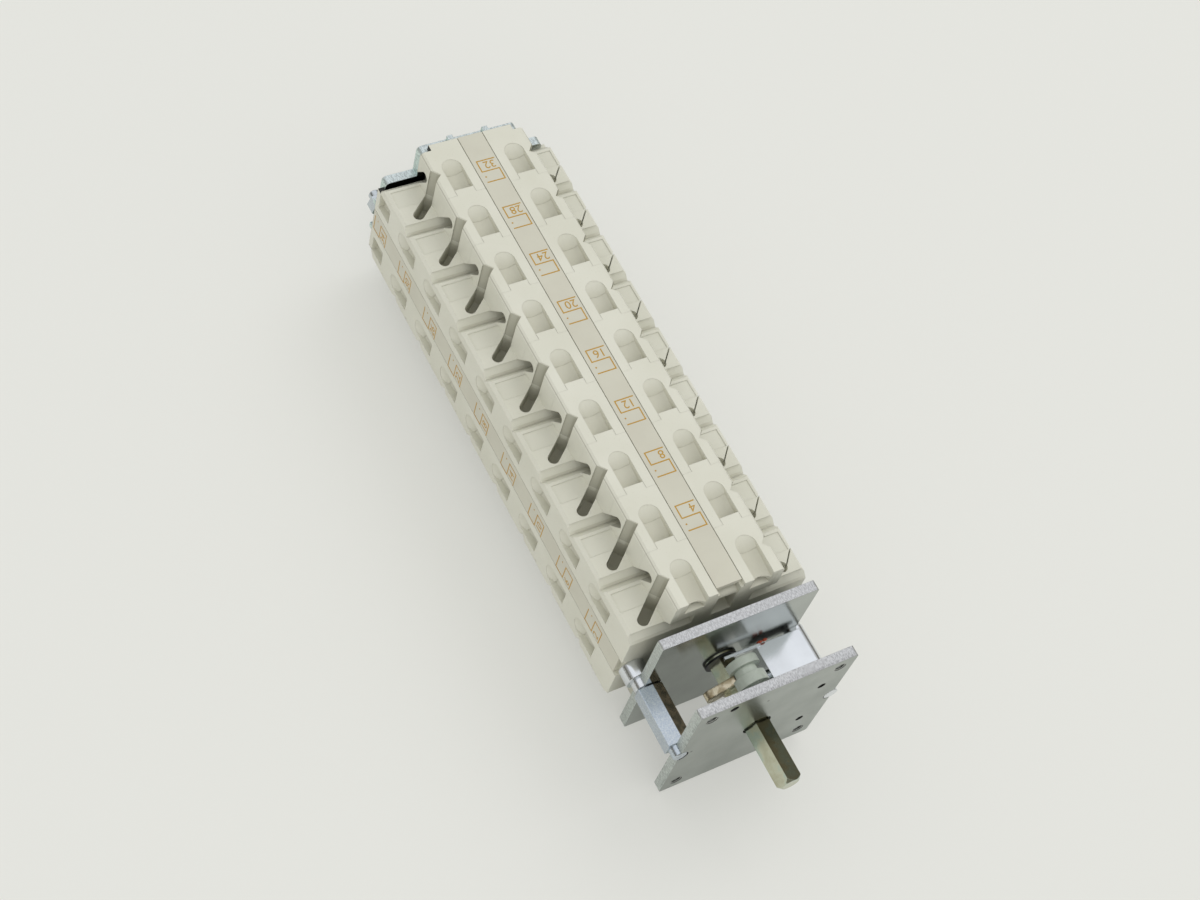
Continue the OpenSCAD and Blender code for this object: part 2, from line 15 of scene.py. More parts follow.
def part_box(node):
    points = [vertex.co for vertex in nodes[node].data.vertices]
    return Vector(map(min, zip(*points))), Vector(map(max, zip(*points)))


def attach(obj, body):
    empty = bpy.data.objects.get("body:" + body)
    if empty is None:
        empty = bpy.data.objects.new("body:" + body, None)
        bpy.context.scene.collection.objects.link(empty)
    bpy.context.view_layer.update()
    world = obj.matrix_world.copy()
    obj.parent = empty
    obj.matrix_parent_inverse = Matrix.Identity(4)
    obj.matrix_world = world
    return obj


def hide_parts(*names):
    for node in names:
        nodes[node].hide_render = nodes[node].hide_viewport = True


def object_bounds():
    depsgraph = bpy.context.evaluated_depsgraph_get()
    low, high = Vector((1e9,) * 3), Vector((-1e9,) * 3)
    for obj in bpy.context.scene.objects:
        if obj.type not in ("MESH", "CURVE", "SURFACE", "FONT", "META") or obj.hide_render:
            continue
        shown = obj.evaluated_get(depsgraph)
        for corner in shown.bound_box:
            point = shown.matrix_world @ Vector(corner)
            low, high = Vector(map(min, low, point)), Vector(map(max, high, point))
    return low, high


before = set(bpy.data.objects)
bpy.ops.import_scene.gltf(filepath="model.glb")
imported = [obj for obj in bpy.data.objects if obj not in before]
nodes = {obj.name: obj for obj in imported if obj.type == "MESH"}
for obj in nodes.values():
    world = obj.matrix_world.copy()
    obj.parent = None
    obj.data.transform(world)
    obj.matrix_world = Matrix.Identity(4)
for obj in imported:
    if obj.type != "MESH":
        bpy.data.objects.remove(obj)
cad_low, cad_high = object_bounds()
MM = 0.001
print(len(nodes), "CAD nodes in", [round(v / MM, 1) for v in cad_high - cad_low], "mm")

# %% [markdown]
# ## Expressions in place of wires
# A finish is worked out from masks: a little more roughness where a cloud of noise
# is high, a paler tone on an edge. In the node editor each sum is a Math node with
# wires. The Wire class lets Python's own operators add those nodes, so a mask
# reads as a formula. Colours go through Mix nodes, because a Math node turns them grey.


# %% A socket that can be added and multiplied
class Wire:
    """A value in a finish. Python's operators on it add Math nodes."""

    def __init__(self, finish, socket):
        self.finish = finish
        self.socket = socket

    def maths(self, operation, *values):
        """One Math node, fed with numbers or wires."""
        sockets = dict(enumerate(values))
        return self.finish.node("ShaderNodeMath", {"operation": operation}, sockets)

    def __add__(self, other):
        return self.maths("ADD", self, other)

    def __sub__(self, other):
        return self.maths("SUBTRACT", self, other)

    def __rsub__(self, other):
        return self.maths("SUBTRACT", other, self)

    def __mul__(self, other):
        return self.maths("MULTIPLY", self, other)

    def __lt__(self, other):
        return self.maths("LESS_THAN", self, other)

    def __abs__(self):
        return self.maths("ABSOLUTE", self)

    __radd__ = __add__
    __rmul__ = __mul__


# %% [markdown]
# ## One finish, one material
# Every finish starts as a Principled BSDF with plain numbers. A number that is the
# same all over is set on the shader itself. What changes over the surface is linked:
# base colour, roughness and bump. Patterns read Object coordinates, in metres, so a
# scale of 1000 makes grains of about a millimetre.


# %% Node trees
class Nodes:
    """Short calls for the nodes of a material or of the world."""

    def __init__(self, tree):
        self.tree = tree

    def fill(self, made, sockets):
        """Give a node's sockets their values. A Wire is linked instead."""
        for name, value in sockets.items():
            socket = made.inputs[name]
            if isinstance(value, Wire):
                self.tree.links.new(value.socket, socket)
            elif socket.type == "RGBA":
                socket.default_value = (*value, 1.0)
            else:
                socket.default_value = value

    def node(self, kind, settings, sockets, out=0):
        """Add a node: its settings come first, then its sockets. One output comes back."""
        made = self.tree.nodes.new(kind)
        for name, value in settings.items():
            if name == "stops":
                self.set_stops(made.color_ramp, value)
            else:
                setattr(made, name, value)
        self.fill(made, sockets)
        return Wire(self, made.outputs[out])

    def set_stops(self, ramp, stops):
        """Give a colour ramp its stops, each a position and a colour."""
        while len(ramp.elements) < len(stops):
            ramp.elements.new(1.0)
        for element, (position, colour) in zip(ramp.elements, stops):
            element.position = position
            element.color = (*colour, 1.0)


# %% A finish
class Finish(Nodes):
    """A material with a Principled BSDF."""

    def __init__(self, name, colour, roughness, metallic=0.0, specular=0.5):
        self.material = bpy.data.materials.new(name)
        self.material.use_nodes = True
        super().__init__(self.material.node_tree)
        self.shader = self.tree.nodes["Principled BSDF"]
        self.fill(self.shader, {
            "Base Color": colour,
            "Roughness": roughness,
            "Metallic": metallic,
            "Specular IOR Level": specular,
        })
        self.place = self.node("ShaderNodeTexCoord", {}, {}, out="Object")
        self.facing = self.node("ShaderNodeTexCoord", {}, {}, out="Normal")

    def dress(self, *pieces):
        """Put this finish on CAD nodes, given by name, or on new pieces."""
        for piece in pieces:
            target = nodes[piece] if isinstance(piece, str) else piece
            target.data.materials.clear()
            target.data.materials.append(self.material)


# %% Noise and ramps
def stretched(finish, scale):
    """Object coordinates with a scale of its own for each axis."""
    return finish.node("ShaderNodeMapping", {}, {"Vector": finish.place, "Scale": scale})


def noise(finish, scale, detail=2.0, vector=None):
    """Cloudy noise around 0.5, with grains of about 1 / scale metres."""
    sockets = {"Vector": vector or finish.place, "Scale": scale, "Detail": detail}
    return finish.node("ShaderNodeTexNoise", {}, sockets, out="Fac")


def between(finish, value, low, high):
    """0 below low, 1 above high, and a straight ramp between them."""
    sockets = {"Value": value, "From Min": low, "From Max": high}
    return finish.node("ShaderNodeMapRange", {"clamp": True}, sockets)


# %% Colour and bump
def tint(finish, mask, first, second):
    """The first colour where the mask is 0, the second where it is 1."""
    sockets = {0: mask, 6: first, 7: second}
    return finish.node("ShaderNodeMix", {"data_type": "RGBA"}, sockets, out=2)


def bump(finish, height, strength, distance, edge_radius=0.0):
    """Bump from a height, over edges that are softened by a radius."""
    sockets = {"Height": height, "Strength": strength, "Distance": distance}
    if edge_radius:
        softened = finish.node("ShaderNodeBevel", {"samples": 4}, {"Radius": edge_radius})
        sockets["Normal"] = softened
    normal = finish.node("ShaderNodeBump", {}, sockets)
    finish.fill(finish.shader, {"Normal": normal})


# %% Which way a surface faces, and where it is
X, Y, Z = 0, 1, 2


def faces(finish, axis):
    """How far a surface faces along an axis: 1 or -1 straight on, 0 from the side."""
    return finish.node("ShaderNodeSeparateXYZ", {}, {0: finish.facing}, out=axis)


def at(finish, axis):
    """The place along an axis, in metres."""
    return finish.node("ShaderNodeSeparateXYZ", {}, {0: finish.place}, out=axis)


def reaches(finish):
    """The smaller and the larger distance from the shaft's axis, along X and Z."""
    x_out, z_out = abs(at(finish, X)), abs(at(finish, Z))
    return x_out.maths("MINIMUM", x_out, z_out), x_out.maths("MAXIMUM", x_out, z_out)


# %% [markdown]
# ## The stages: a matt warm-white moulding
# The stages are pressed from a thermoset powder. It is matt, faintly cloudy, with a
# very fine grain and softly worn edges. Real grain is far too small to model, so a
# fine noise goes to the bump, and a broad one moves the colour by a few percent.
# The grooves that lead a screwdriver down the notch walls to the slots get painted shade, a
# darker tone. They lie just inside the walls, which are 22.8 mm from the shaft's axis.
# The wire pockets get painted shade that grows with their depth, and on the left the gap in
# front of the end plate is painted black as shade.

# %% Moulding finish
moulding = Finish("moulding", (0.69, 0.687, 0.59), 0.55)
cloud = between(moulding, noise(moulding, 45.0, 4.0), 0.35, 0.7)
speck = between(moulding, noise(moulding, 1600.0, 1.0), 0.66, 0.78)
clean = tint(moulding, cloud, (0.705, 0.70, 0.605), (0.665, 0.66, 0.56))
speckled = tint(moulding, speck * 0.3, clean, (0.54, 0.52, 0.42))
print("the moulding's colour is speckled")

# %% Shade by place
NOTCH_WALL = 22.8 * MM
GROOVE_BOTTOM = 19 * MM
ARM_TOP = 37.5 * MM
POCKET_SIDE = 20.5 * MM
LAND_SIDE = 18.1 * MM
LAST_NOTCH_END = 254.75 * MM
inner, outer = reaches(moulding)
wall_x = abs(at(moulding, X))
behind_wall = (wall_x < NOTCH_WALL - 0.2 * MM) * (1 - (wall_x < GROOVE_BOTTOM))
in_arm = (outer < ARM_TOP - 0.5 * MM) * (1 - (outer < NOTCH_WALL))
in_groove = behind_wall * in_arm * (abs(faces(moulding, Y)) < 0.9)
in_pocket = between(moulding, outer, ARM_TOP, ARM_TOP - 3 * MM) * (inner < POCKET_SIDE)
past_the_end = 1 - (at(moulding, Y) < LAST_NOTCH_END)
in_end_gap = past_the_end * (1 - (inner < LAND_SIDE)) * (at(moulding, X) < 0)
# Painted shade in the wire pockets, darker with their depth.
pocket_painted_shade = tint(moulding, in_pocket * 0.4, speckled, (0.50, 0.485, 0.39))
# Painted shade in the screwdriver grooves: their colour is pulled towards a dark brown.
groove_painted_shade = tint(moulding, in_groove * 0.4, pocket_painted_shade, (0.2, 0.19, 0.13))
# Painted shade: the gap in front of the end plate, on the left, is painted black.
end_gap_painted_shade = tint(moulding, in_end_gap, groove_painted_shade, (0.02, 0.02, 0.016))
moulding.fill(moulding.shader, {"Base Color": end_gap_painted_shade, "Roughness": 0.5 + cloud * 0.14})
bump(moulding, noise(moulding, 2200.0, 3.0), 0.12, 0.1 * MM, 0.28 * MM)
stage_names = [name for name in nodes if name.startswith("stage_")]
moulding.dress(*stage_names)
print(len(stage_names), "stages dressed")

# %% [markdown]
# ## The label strips
# A strip is extruded in a softer plastic, a little greyer and pinker than the
# stages, with faint lines along its length from the die.

# %% Strip finish
strip_plastic = Finish("strip_plastic", (0.60, 0.585, 0.49), 0.42)
die_lines = noise(strip_plastic, 1.0, 2.0, stretched(strip_plastic, (3000.0, 12.0, 3000.0)))
grime = between(strip_plastic, noise(strip_plastic, 70.0, 3.0), 0.4, 0.75)
strip_plastic.fill(strip_plastic.shader, {
    "Base Color": tint(strip_plastic, grime, (0.605, 0.592, 0.493), (0.57, 0.552, 0.458)),
    "Roughness": 0.36 + die_lines * 0.15,
})
bump(strip_plastic, die_lines, 0.1, 0.05 * MM, 0.2 * MM)
strip_names = [name for name in nodes if name.startswith("label_strip_")]
strip_plastic.dress(*strip_names)
print(len(strip_names), "strips dressed")

# %% [markdown]
# ## Zinc plate
# The plates and bars are steel with a thin blue-white zinc coat. It is a metal, so
# its colour is the tint of its reflections. Rolled faces have a satin bloom in soft
# clouds. The sheared edges are brighter and scratched across their thickness: their
# mask is how little a surface faces along Y.


# %% Sheared edges
def sheared(zinc, face_colour, edge_colour, rim):
    """Colour and extra roughness with bright scratched sides, and painted shade inside the rim.
    """
    on_side = between(zinc, 1 - abs(faces(zinc, Y)), 0.5, 0.7)
    in_hole = on_side * (reaches(zinc)[1] < rim)
    scratches = noise(zinc, 1.0, 4.0, stretched(zinc, (2600.0, 900.0, 2600.0)))
    greenish = tuple(v * w for v, w in zip(edge_colour, (0.94, 1.0, 0.95)))
    # Painted reflection: rims that face up keep the pale edge colour, as if they mirror the
    # bright ceiling, and side rims are a little darker and greener.
    edge_tone_and_painted_reflection = tint(zinc, abs(faces(zinc, Z)), greenish, edge_colour)
    sparkle = tint(zinc, between(zinc, scratches, 0.42, 0.58) * 0.28, edge_tone_and_painted_reflection, (0.0, 0.0, 0.0))
    colour = tint(zinc, on_side, face_colour, sparkle)
    # Holes and notch walls inside the rim get painted shade, a near-black tint.
    return tint(zinc, in_hole, colour, (0.1, 0.1, 0.095)), on_side * (scratches * 0.3 + 0.1)


# %% Zinc finish
def zinc_finish(name, colour, roughness, edge_colour=None, rim=0.0, soft_edge=0.12 * MM):
    """Zinc that keeps its face_colour, for marks over it. Holes lie inside a plate's rim and get
    painted shade.
    """
    zinc = Finish(name, colour, roughness, metallic=1.0)
    bloom = between(zinc, noise(zinc, 60.0, 5.0), 0.3, 0.7)
    grain = noise(zinc, 1500.0, 2.0)
    dull = tuple(v * 0.86 for v in colour)
    zinc.face_colour = tint(zinc, bloom, colour, dull)
    rough = roughness + bloom * 0.08 + grain * 0.06
    if rim:
        rough = rough + (at(zinc, Y) < 1 * MM) * 0.16
    if edge_colour:
        zinc.face_colour, more = sheared(zinc, zinc.face_colour, edge_colour, rim)
        rough = rough + more
    zinc.fill(zinc.shader, {"Base Color": zinc.face_colour, "Roughness": rough})
    bump(zinc, grain, 0.15, 0.04 * MM, soft_edge)
    return zinc


# %% Zinc on each part
PLATE_EDGE = (0.69, 0.695, 0.70)
plate_zinc = zinc_finish("plate_zinc", (0.40, 0.43, 0.40), 0.12, PLATE_EDGE, 32.2 * MM, 0.2 * MM)
plate_zinc.dress("front_plate", "rear_plate")
screw_zinc = zinc_finish("screw_zinc", (0.62, 0.67, 0.70), 0.2)
screw_zinc.dress("tie_nuts", "terminal_screws", "tie_rod_left", "tie_rod_right")
bright_zinc = zinc_finish("bright_zinc", (0.81, 0.84, 0.87), 0.1, soft_edge=0.4 * MM)
bright_zinc.dress("detent_housing", "detent_plunger", "detent_spring")
bright_zinc.dress("side_post", "spacer_left", "spacer_right")
print("three kinds of zinc made")

# %% [markdown]
# Three places have a mark of their own. The front plate has two punch marks. The end plate's
# near face is painted black on the left, as painted shade in the gap before the stages. The
# bar's sloping flank is painted a dull mottled brown, a painted reflection of the dark room, and
# the rest of it has a pale, dotted coat.


# %% Punch marks
def punch_mark(finish, x, z):
    """1 inside a mark of half a millimetre on the front face, 0 outside it."""
    ends = {0: finish.place, 1: (x, 0.0, z)}
    away = finish.node("ShaderNodeVectorMath", {"operation": "DISTANCE"}, ends, out="Value")
    return between(finish, away, 0.6 * MM, 0.4 * MM)


left_mark = punch_mark(plate_zinc, -28.2 * MM, 0.8 * MM)
top_mark = punch_mark(plate_zinc, -2.3 * MM, 22.7 * MM)
marked = tint(plate_zinc, left_mark + top_mark, plate_zinc.face_colour, (0.08, 0.08, 0.07))
plate_zinc.fill(plate_zinc.shader, {"Base Color": marked})
print("two punch marks")

# %% Painted shade on the near face of the end plate
END_NEAR_Y = 256 * MM
end_zinc = zinc_finish("end_zinc", (0.62, 0.66, 0.66), 0.15, (0.78, 0.86, 0.86))
black_face = (at(end_zinc, Y) < END_NEAR_Y + 0.05 * MM) * (at(end_zinc, X) < 0)
# Painted shade: the near face on the left, in the gap before the stages, is painted black.
end_face_painted_shade = tint(end_zinc, black_face, end_zinc.face_colour, (0.02, 0.02, 0.018))
end_zinc.fill(end_zinc.shader, {"Base Color": end_face_painted_shade})
print("black face up to", round(END_NEAR_Y / MM), "mm along the stack")

# %% Bar with a flank painted dark brown as a reflection
FLANK_X = -30 * MM
bar_zinc = zinc_finish("bar_zinc", (0.54, 0.61, 0.69), 0.2)
dots = between(bar_zinc, noise(bar_zinc, 1900.0, 2.0), 0.42, 0.62)
dotted = tint(bar_zinc, dots * 0.5, bar_zinc.face_colour, (0.72, 0.76, 0.76))
mottle = between(bar_zinc, noise(bar_zinc, 350.0, 4.0), 0.4, 0.65)
flank_painted_reflection = tint(bar_zinc, mottle, (0.13, 0.12, 0.085), (0.28, 0.23, 0.155))
on_flank = 1 - (at(bar_zinc, X) < FLANK_X + 0.05 * MM)
# Painted reflection: the sloping flank is painted a dark mottled brown, as the dark room it
# mirrors.
bar_zinc.fill(bar_zinc.shader, {"Base Color": tint(bar_zinc, on_flank, dotted, flank_painted_reflection)})
print("zinc on", sum("zinc" in m.name for m in bpy.data.materials), "kinds of part")

# %% [markdown]
# ## Passivated steel
# The shaft was dipped in a chromate bath, which leaves a thin iridescent film on the zinc:
# grey-green, with drifting spots of sea green, straw and brown. A ramp turns one slow noise into
# those tones, as the thickness of the film does. The two sides that face along the shaft's
# tilted up and down axis get darker brown tones: a painted reflection of the dark room.

# %% Shaft finish
film = Finish("passivated_film", (0.42, 0.42, 0.30), 0.3, metallic=1.0)
thickness = noise(film, 110.0, 3.0)
spots = noise(film, 1100.0, 2.0)
film_ramp = thickness * 0.85 + spots * 0.15
pale_film = film.node("ShaderNodeValToRGB", {"stops": [
    (0.30, (0.46, 0.45, 0.33)),
    (0.45, (0.58, 0.59, 0.46)),
    (0.55, (0.50, 0.58, 0.50)),
    (0.70, (0.62, 0.60, 0.44)),
]}, {"Fac": film_ramp}, out="Color")
dark_side_painted_reflection = film.node("ShaderNodeValToRGB", {"stops": [
    (0.30, (0.17, 0.15, 0.09)),
    (0.48, (0.25, 0.23, 0.14)),
    (0.60, (0.24, 0.27, 0.20)),
    (0.70, (0.34, 0.29, 0.15)),
]}, {"Fac": film_ramp}, out="Color")
SHAFT_TILT = math.radians(19.5)
toward_tilt_axis = faces(film, X) * math.sin(SHAFT_TILT) + faces(film, Z) * math.cos(SHAFT_TILT)
# Painted reflection: the two sides that face along the shaft's tilted axis get the dark brown
# tones.
film_and_painted_reflection = tint(film, between(film, abs(toward_tilt_axis), 0.75, 0.95), pale_film, dark_side_painted_reflection)
film.fill(film.shader, {"Base Color": film_and_painted_reflection, "Roughness": 0.16 + spots * 0.12})
bump(film, spots, 0.06, 0.04 * MM, 0.1 * MM)
film.dress("shaft", "bearing_bush")
print("film on the shaft and its bush")

# %% [markdown]
# ## Nylon, yellow steel and the black ring
# The block on the shaft is natural nylon, a milky grey-green that lets a little light
# in. The stop arm is yellow passivated sheet, rubbed thin in patches. The ring is
# blackened spring steel, and the cams inside the stages are a dark plastic.

# %% Nylon finish
nylon = Finish("nylon", (0.60, 0.66, 0.58), 0.28)
milk = between(nylon, noise(nylon, 160.0, 3.0), 0.35, 0.7)
nylon.fill(nylon.shader, {
    "Base Color": tint(nylon, milk, (0.63, 0.69, 0.61), (0.54, 0.60, 0.52)),
    "Roughness": 0.22 + milk * 0.12,
    "Subsurface Weight": 0.15,
    "Subsurface Radius": (0.003, 0.003, 0.003),
})
bump(nylon, noise(nylon, 900.0), 0.08, 0.05 * MM, 0.5 * MM)
nylon.dress("rotor_block")
print("nylon on the block")

# %% Yellow steel finish
yellow_steel = Finish("yellow_steel", (0.58, 0.50, 0.34), 0.3, metallic=0.9)
rubbed = between(yellow_steel, noise(yellow_steel, 260.0, 4.0), 0.45, 0.6)
yellow_steel.fill(yellow_steel.shader, {
    "Base Color": tint(yellow_steel, rubbed, (0.66, 0.59, 0.44), (0.42, 0.34, 0.21)),
    "Roughness": 0.26 + rubbed * 0.16,
})
bump(yellow_steel, noise(yellow_steel, 1200.0), 0.15, 0.05 * MM, 0.7 * MM)
yellow_steel.dress("stop_arm")
print("yellow steel on the stop arm")

# %% Black ring and cams
black_steel = Finish("black_steel", (0.02, 0.02, 0.022), 0.4, metallic=0.6)
oil = noise(black_steel, 500.0, 3.0)
black_steel.fill(black_steel.shader, {"Roughness": 0.3 + oil * 0.25})
black_steel.dress("retaining_ring")
cam_plastic = Finish("cam_plastic", (0.07, 0.07, 0.07), 0.5)
cam_plastic.fill(cam_plastic.shader, {"Roughness": 0.42 + noise(cam_plastic, 400.0) * 0.2})
cam_names = [name for name in nodes if name.startswith("cam_")]
cam_plastic.dress(*cam_names)
print("black ring and", len(cam_names), "cams dressed")

# %% [markdown]
# ## Print on the strips
# Each contact has a mark in ochre ink: one line that winds in two loops, a dot, and
# a plain number. The ink is a film a few hundredths of a millimetre thick. It could be
# a mask in the strip's material, but real strokes keep their crisp edges at any
# distance, and letters as curves are easy to turn into thin solids.

# %% Ink finish
ink = Finish("ochre_ink", (0.47, 0.265, 0.03), 0.5)
faded = between(ink, noise(ink, 900.0, 3.0), 0.55, 0.85)
ink.fill(ink.shader, {
    "Base Color": tint(ink, faded, (0.47, 0.265, 0.03), (0.55, 0.38, 0.13)),
    "Roughness": 0.45 + faded * 0.1,
})
INK_T = 0.04 * MM
STROKE = 0.48 * MM
DOT_R, DOT_IN = 0.35 * MM, 0.4 * MM
STRIP_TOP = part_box("label_strip_top")[1].z
print("strokes of", round(STROKE / MM, 2), "mm at", round(STRIP_TOP / MM, 2), "mm from the axis")


# %% A piece from a bmesh
def new_piece(name, mesh, finish):
    """An object on the fixed frame, from a bmesh that is used up."""
    data = bpy.data.meshes.new(name)
    mesh.to_mesh(data)
    mesh.free()
    piece = bpy.data.objects.new(name, data)
    bpy.context.scene.collection.objects.link(piece)
    finish.dress(piece)
    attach(piece, "frame")
    print(name, "has", len(data.polygons), "faces")
    return piece


# %% One mark
def stroke(mesh, x, y, width, height):
    """A straight stroke of ink around the point x, y."""
    size = Matrix.Diagonal((width, height, INK_T, 1.0))
    bmesh.ops.create_cube(mesh, size=1.0, matrix=Matrix.Translation((x, y, INK_T / 2)) @ size)


def disc(mesh, radius, thickness, segments, place):
    """A flat cylinder, with its axis along Z before it is placed."""
    bmesh.ops.create_cone(
        mesh,
        cap_ends=True,
        segments=segments,
        radius1=radius,
        radius2=radius,
        depth=thickness,
        matrix=place,
    )


def winding_line(mesh, width, loop):
    """Three lines across the strip, joined on the left and on the right, and a dot."""
    x = width / 2
    for y in (loop, 0.0, -loop):
        stroke(mesh, 0.0, y, width + STROKE, STROKE)
    stroke(mesh, -x, loop / 2, STROKE, loop - STROKE)
    stroke(mesh, x, -loop / 2, STROKE, loop - STROKE)
    disc(mesh, DOT_R, INK_T, 12, Matrix.Translation((-x + DOT_IN, -loop / 2, INK_T / 2)))


# %% Digits as thin solids
DIGIT_SHARE = 0.72


def number(mesh, words, height, right, middle):
    """Digits whose reading direction is -X, as they are upright from the far end."""
    curve = bpy.data.curves.new("digits", "FONT")
    curve.body = words
    curve.size = height / DIGIT_SHARE
    curve.extrude = INK_T / 2
    curve.resolution_u = 3
    letters = bpy.data.objects.new("digits", curve)
    bpy.context.scene.collection.objects.link(letters)
    bpy.context.view_layer.update()
    solid = bpy.data.meshes.new_from_object(letters)
    bpy.data.objects.remove(letters)
    start = Matrix.Translation((right, middle + height / 2, INK_T / 2))
    solid.transform(start @ Matrix.Rotation(math.pi, 4, "Z"))
    mesh.from_mesh(solid)
    bpy.data.meshes.remove(solid)


# %% [markdown]
# The marks of one face are one piece. They are drawn lying flat with the strip's
# length along Y, then the whole mesh is lifted to the strip's surface and turned
# round the shaft's axis to its own face. On the left and the right the marks are
# half a stage off, as the contacts are there, and turned the other way round.


# %% The marks of one face
STAGE_PITCH = 24 * MM
FIRST_MARK_Y = 58.5 * MM
MARK_W, MARK_LOOP = 7.6 * MM, 5.4 * MM
DIGIT_H, DIGIT_RIGHT = 3.7 * MM, 3.4 * MM


def marks(face, turn, numbers, turned_round):
    """One mark for each number, in a row along a face's strip."""
    first_y = FIRST_MARK_Y if turned_round else FIRST_MARK_Y + STAGE_PITCH / 2
    shift = -1.3 * MM if turned_round else 0.4 * MM
    mesh = bmesh.new()
    for i, words in enumerate(numbers):
        mark = bmesh.new()
        winding_line(mark, MARK_W, MARK_LOOP)
        number(mark, words, DIGIT_H, DIGIT_RIGHT, MARK_LOOP / 2)
        if turned_round:
            bmesh.ops.rotate(mark, verts=mark.verts, matrix=Matrix.Rotation(math.pi, 3, "Z"))
        place = (shift, first_y + i * STAGE_PITCH, STRIP_TOP)
        bmesh.ops.translate(mark, verts=mark.verts, vec=place)
        part = bpy.data.meshes.new("mark")
        mark.to_mesh(part)
        mark.free()
        mesh.from_mesh(part)
        bpy.data.meshes.remove(part)
    to_face = Matrix.Rotation(math.radians(turn), 3, "Y")
    bmesh.ops.rotate(mesh, verts=mesh.verts, matrix=to_face)
    piece = new_piece(f"marks_{face}", mesh, ink)


# %% Draw the marks
marks("top", 0, [str(4 * k) for k in range(1, 9)], False)
marks("left", -90, [str(4 * k - 2) for k in range(1, 10)], True)
marks("bottom", 180, [str(4 * k - 1) for k in range(1, 9)], False)
marks("right", 90, [str(4 * k - 3) for k in range(1, 10)], True)

# %% [markdown]
# ## Plates with open notches
# On the real switch a plate has no closed hole for its bars: a round notch in each
# side edge holds the bar's tenon or the spacer's collar, and the metal is staked
# round it. The CAD plates have ears there instead. So each plate is a merged copy of
# the CAD mesh, and two boolean cuts take off its ears and open the notches.


# %% Merged copies
def merged_copy(node):
    """A CAD node's mesh with its loose triangles joined."""
    mesh = bmesh.new()
    mesh.from_mesh(nodes[node].data)
    bmesh.ops.remove_doubles(mesh, verts=mesh.verts, dist=0.001 * MM)
    return mesh


# %% Boolean cuts
def carve(piece, cutter_mesh):
    """Take a cutter's solids away from a piece, for good."""
    data = bpy.data.meshes.new("cutter")
    cutter_mesh.to_mesh(data)
    cutter_mesh.free()
    cutter = bpy.data.objects.new("cutter", data)
    bpy.context.scene.collection.objects.link(cutter)
    cut = piece.modifiers.new("cut", "BOOLEAN")
    cut.operation, cut.solver, cut.object = "DIFFERENCE", "EXACT", cutter
    bpy.context.view_layer.update()
    result = piece.evaluated_get(bpy.context.evaluated_depsgraph_get())
    carved = bpy.data.meshes.new_from_object(result)
    piece.modifiers.clear()
    piece.data = carved
    bpy.data.objects.remove(cutter)
    print(piece.name, "has", len(carved.polygons), "faces after the cut")


# %% Notched plates
ROD_X = 32.5 * MM
PLATE_T = 4 * MM
PLATE_SIDE = 33 * MM
REAR_PLATE_Y = 28.2 * MM
CUT_DEPTH, CUT_HEIGHT = 8 * MM, 80 * MM
ALONG_Y = Matrix.Rotation(math.pi / 2, 4, "X")


def notched_plate(node, near_y, notch_r):
    """A copy of a CAD plate without its ears, with a notch in each side edge."""
    piece = new_piece(f"{node}_notched", merged_copy(node), plate_zinc)
    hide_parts(node)
    middle_y = near_y + PLATE_T / 2
    ears, notches = bmesh.new(), bmesh.new()
    for side in (-1, 1):
        block = Matrix.Diagonal((CUT_DEPTH, CUT_DEPTH, CUT_HEIGHT, 1.0))
        beyond = Matrix.Translation((side * (PLATE_SIDE + CUT_DEPTH / 2), middle_y, 0))
        bmesh.ops.create_cube(ears, size=1.0, matrix=beyond @ block)
        at_rod = Matrix.Translation((side * ROD_X, middle_y, 0))
        disc(notches, notch_r, CUT_DEPTH, 40, at_rod @ ALONG_Y)
    carve(piece, ears)
    carve(piece, notches)


notched_plate("front_plate", 0.0, 3.2 * MM)
notched_plate("rear_plate", REAR_PLATE_Y, 3.7 * MM)

# %% [markdown]
# ## Spacers and the bar
# A spacer is turned from round bar: its collar lies in the rear plate's notch and its
# wide part fills the gap to the first stage. Its half section is spun round the tie
# rod. The bar on the left starts as a block. One cut gives it the sloping flank, and
# a bevel its fine corners.


# %% Turned parts
def turned(mesh, x, z, section, steps):
    """Spin a closed half section of (radius, y) round the line along Y through x, z."""
    verts = [mesh.verts.new((x + radius, y, z)) for radius, y in section]
    edges = [mesh.edges.new((verts[i], verts[i - 1])) for i in range(len(verts))]
    bmesh.ops.spin(
        mesh,
        geom=verts + edges,
        cent=(x, 0, z),
        axis=(0, 1, 0),
        angle=2 * math.pi,
        steps=steps,
        use_merge=True,
    )
    bmesh.ops.recalc_face_normals(mesh, faces=mesh.faces)


# %% Spacers
BORE_R, COLLAR_R, BODY_R = 2.55 * MM, 3.5 * MM, 5.2 * MM
BREAK = 0.3 * MM
COLLAR_Y = REAR_PLATE_Y + 0.1 * MM
BODY_Y = REAR_PLATE_Y + PLATE_T
STACK_Y = 38.7 * MM
spacer_section = [
    (BORE_R, COLLAR_Y),
    (COLLAR_R - BREAK, COLLAR_Y),
    (COLLAR_R, COLLAR_Y + BREAK),
    (COLLAR_R, BODY_Y),
    (BODY_R - BREAK, BODY_Y),
    (BODY_R, BODY_Y + BREAK),
    (BODY_R, STACK_Y - BREAK),
    (BODY_R - BREAK, STACK_Y),
    (BORE_R, STACK_Y),
]
for side, x in (("left", -ROD_X), ("right", ROD_X)):
    sleeve = bmesh.new()
    turned(sleeve, x, 0.0, spacer_section, 48)
    spacer = new_piece(f"spacer_sleeve_{side}", sleeve, bright_zinc)
    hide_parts(f"spacer_{side}")

